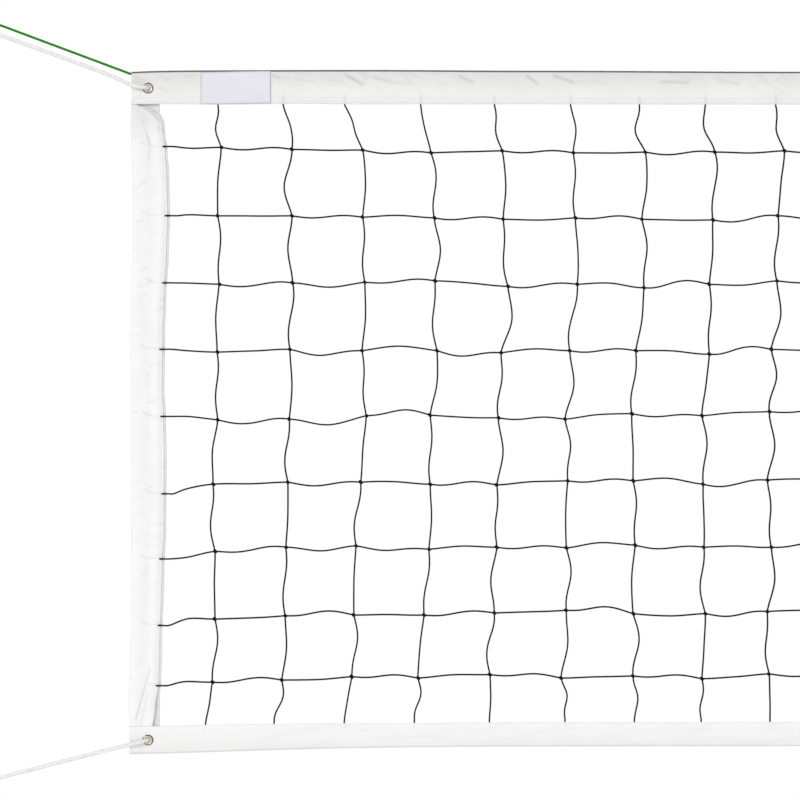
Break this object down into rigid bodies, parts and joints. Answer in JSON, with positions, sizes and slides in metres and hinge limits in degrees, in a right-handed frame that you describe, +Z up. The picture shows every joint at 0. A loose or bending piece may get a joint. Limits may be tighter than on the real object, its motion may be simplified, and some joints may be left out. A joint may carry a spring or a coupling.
{
  "type": "volleyball net",
  "caption": "Long volleyball net: white folded bands round a black square mesh, hung on a coated steel cable, with eyelets and tie cords at its corners.",
  "frame": {"origin": "middle of the top cable's centre line", "axes": "+X along the net, to the right as its front is seen; +Y from its front to its back; +Z up"},
  "size_m": [10.1514, 0.0323, 1.2034],
  "materials": {
    "band": "white coated tape, fine weave, stitched",
    "side_band": "soft white tape, cool tone, loosely folded",
    "twine": "twisted and knotted black twine, matt",
    "cable": "green coated steel wire cable",
    "ferrule": "crimped aluminium",
    "nickel": "polished nickel plate",
    "rope": "white twisted cord",
    "label": "bare pale woven patch"
  },
  "bodies": {
    "cable": {"top_cable": "cable"},
    "net": {"top_band": "band", "bottom_band": "band", "side_band_left": "side_band", "side_band_right": "side_band", "label_patch": "label", "net_uprights": "twine", "net_row_1": "twine", "net_row_2": "twine", "net_row_3": "twine", "net_row_4": "twine", "net_row_5": "twine", "net_row_6": "twine", "net_row_7": "twine", "net_row_8": "twine", "net_row_9": "twine", "eyelet_top_left": "nickel", "eyelet_top_right": "nickel", "eyelet_bottom_left": "nickel", "eyelet_bottom_right": "nickel", "washer_top_left": "nickel", "washer_top_right": "nickel", "washer_bottom_left": "nickel", "washer_bottom_right": "nickel"},
    "cable_left": {"cable_end_left": "cable", "ferrule_left": "ferrule"},
    "cable_right": {"cable_end_right": "cable", "ferrule_right": "ferrule"},
    "tie_top_left": {"tie_cord_top_left": "rope", "tie_stopper_top_left": "rope", "tie_knot_top_left": "rope", "tie_loop_top_left": "rope"},
    "tie_top_right": {"tie_cord_top_right": "rope", "tie_stopper_top_right": "rope", "tie_knot_top_right": "rope", "tie_loop_top_right": "rope"},
    "tie_bottom_left": {"tie_cord_bottom_left": "rope", "tie_stopper_bottom_left": "rope", "tie_knot_bottom_left": "rope", "tie_loop_bottom_left": "rope"},
    "tie_bottom_right": {"tie_cord_bottom_right": "rope", "tie_stopper_bottom_right": "rope", "tie_knot_bottom_right": "rope", "tie_loop_bottom_right": "rope"}
  },
  "joints": [
    {"name": "net_swing", "type": "hinge", "parent": "cable", "child": "net", "pos_m": [0, 0, 0], "axis": [1, 0, 0], "range_deg": [-60, 60]},
    {"name": "cable_left_turn", "type": "hinge", "parent": "cable", "child": "cable_left", "pos_m": [-4.752, 0, 0], "axis": [0, 1, 0], "range_deg": [-40, 25]},
    {"name": "cable_right_turn", "type": "hinge", "parent": "cable", "child": "cable_right", "pos_m": [4.752, 0, 0], "axis": [0, -1, 0], "range_deg": [-40, 25]},
    {"name": "tie_top_left_turn", "type": "hinge", "parent": "net", "child": "tie_top_left", "pos_m": [-4.726, 0, -0.0213], "axis": [0, 1, 0], "range_deg": [-110, 50]},
    {"name": "tie_top_right_turn", "type": "hinge", "parent": "net", "child": "tie_top_right", "pos_m": [4.726, 0, -0.0213], "axis": [0, -1, 0], "range_deg": [-110, 50]},
    {"name": "tie_bottom_left_turn", "type": "hinge", "parent": "net", "child": "tie_bottom_left", "pos_m": [-4.726, 0, -0.9763], "axis": [0, 1, 0], "range_deg": [-75, 100]},
    {"name": "tie_bottom_right_turn", "type": "hinge", "parent": "net", "child": "tie_bottom_right", "pos_m": [4.726, 0, -0.9763], "axis": [0, -1, 0], "range_deg": [-75, 100]}
  ]
}
